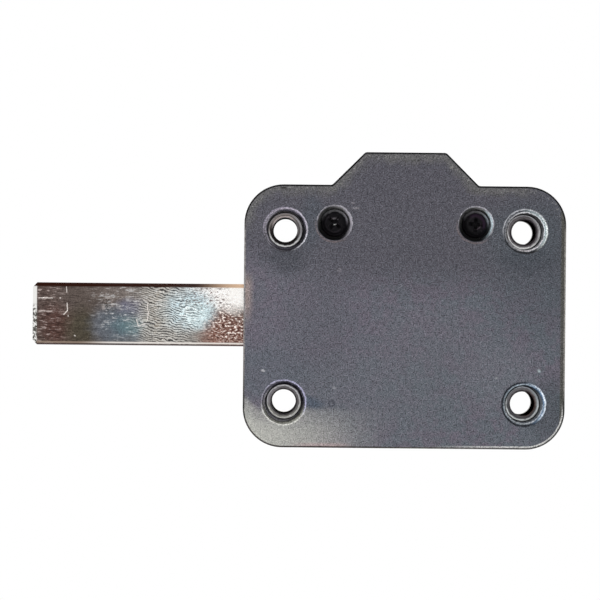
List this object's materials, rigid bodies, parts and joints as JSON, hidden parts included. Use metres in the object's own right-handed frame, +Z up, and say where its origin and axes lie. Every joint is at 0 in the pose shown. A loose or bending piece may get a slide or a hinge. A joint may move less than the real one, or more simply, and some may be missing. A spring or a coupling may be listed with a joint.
{
  "type": "surface mounted deadbolt",
  "caption": "Surface mounted deadbolt: a flat case with a raised top, corner mounting holes and a long rectangular bolt that a key cylinder throws through a rack and pinion.",
  "frame": {"origin": "centre of the four mounting holes, on the back face of the back plate, which lies on the door", "axes": "+Y from the face of the case towards the door, +X along the bolt away from its tip, +Z up towards the raised part of the case"},
  "size_m": [0.1365, 0.0435, 0.0754],
  "materials": {
    "cover_paint": "fine-grained dark grey metallic powder coat",
    "plate_zinc": "zinc plated sheet steel",
    "sleeve_zinc": "bright zinc plated turned steel",
    "screw_black": "black oxide",
    "bolt_nickel": "bright nickel plate with fine ripple and light scratches",
    "hard_steel": "ground hardened steel",
    "spring_steel": "tempered spring steel",
    "bronze": "sintered bronze",
    "cylinder_nickel": "satin nickel plated brass",
    "plug_brass": "satin nickel plated brass, bare brass in the keyway",
    "pin_brass": "plain turned brass",
    "screw_zinc": "zinc plated"
  },
  "bodies": {
    "case": {"front_cover": "cover_paint", "back_plate": "plate_zinc", "spacer_sleeves": "sleeve_zinc", "screw_pillars": "sleeve_zinc", "cover_screws": "screw_black", "guide_pin": "hard_steel", "leaf_spring": "spring_steel", "leaf_rivet": "hard_steel", "pinion_bush": "bronze", "cylinder_body": "cylinder_nickel", "cylinder_fixing_screw": "screw_zinc", "driver_pin_1": "hard_steel", "pin_spring_1": "spring_steel", "chamber_plug_1": "pin_brass", "driver_pin_2": "hard_steel", "pin_spring_2": "spring_steel", "chamber_plug_2": "pin_brass", "driver_pin_3": "hard_steel", "pin_spring_3": "spring_steel", "chamber_plug_3": "pin_brass", "driver_pin_4": "hard_steel", "pin_spring_4": "spring_steel", "chamber_plug_4": "pin_brass", "driver_pin_5": "hard_steel", "pin_spring_5": "spring_steel", "chamber_plug_5": "pin_brass"},
    "bolt": {"bolt": "bolt_nickel"},
    "plug": {"cylinder_plug": "plug_brass", "pinion": "hard_steel", "plug_clip": "spring_steel", "key_pin_1": "pin_brass", "key_pin_2": "pin_brass", "key_pin_3": "pin_brass", "key_pin_4": "pin_brass", "key_pin_5": "pin_brass"}
  },
  "joints": [
    {"name": "bolt_slide", "type": "slide", "parent": "case", "child": "bolt", "axis": [1, 0, 0], "range_m": [0, 0.03456]},
    {"name": "plug_turn", "type": "hinge", "parent": "case", "child": "plug", "pos_m": [0, 0, 0.0126], "axis": [0, 1, 0], "range_deg": [-360, 0]}
  ],
  "couplings": [
    {"joint": "plug_turn", "follows": "bolt_slide", "rad_per_m": -181.82}
  ]
}
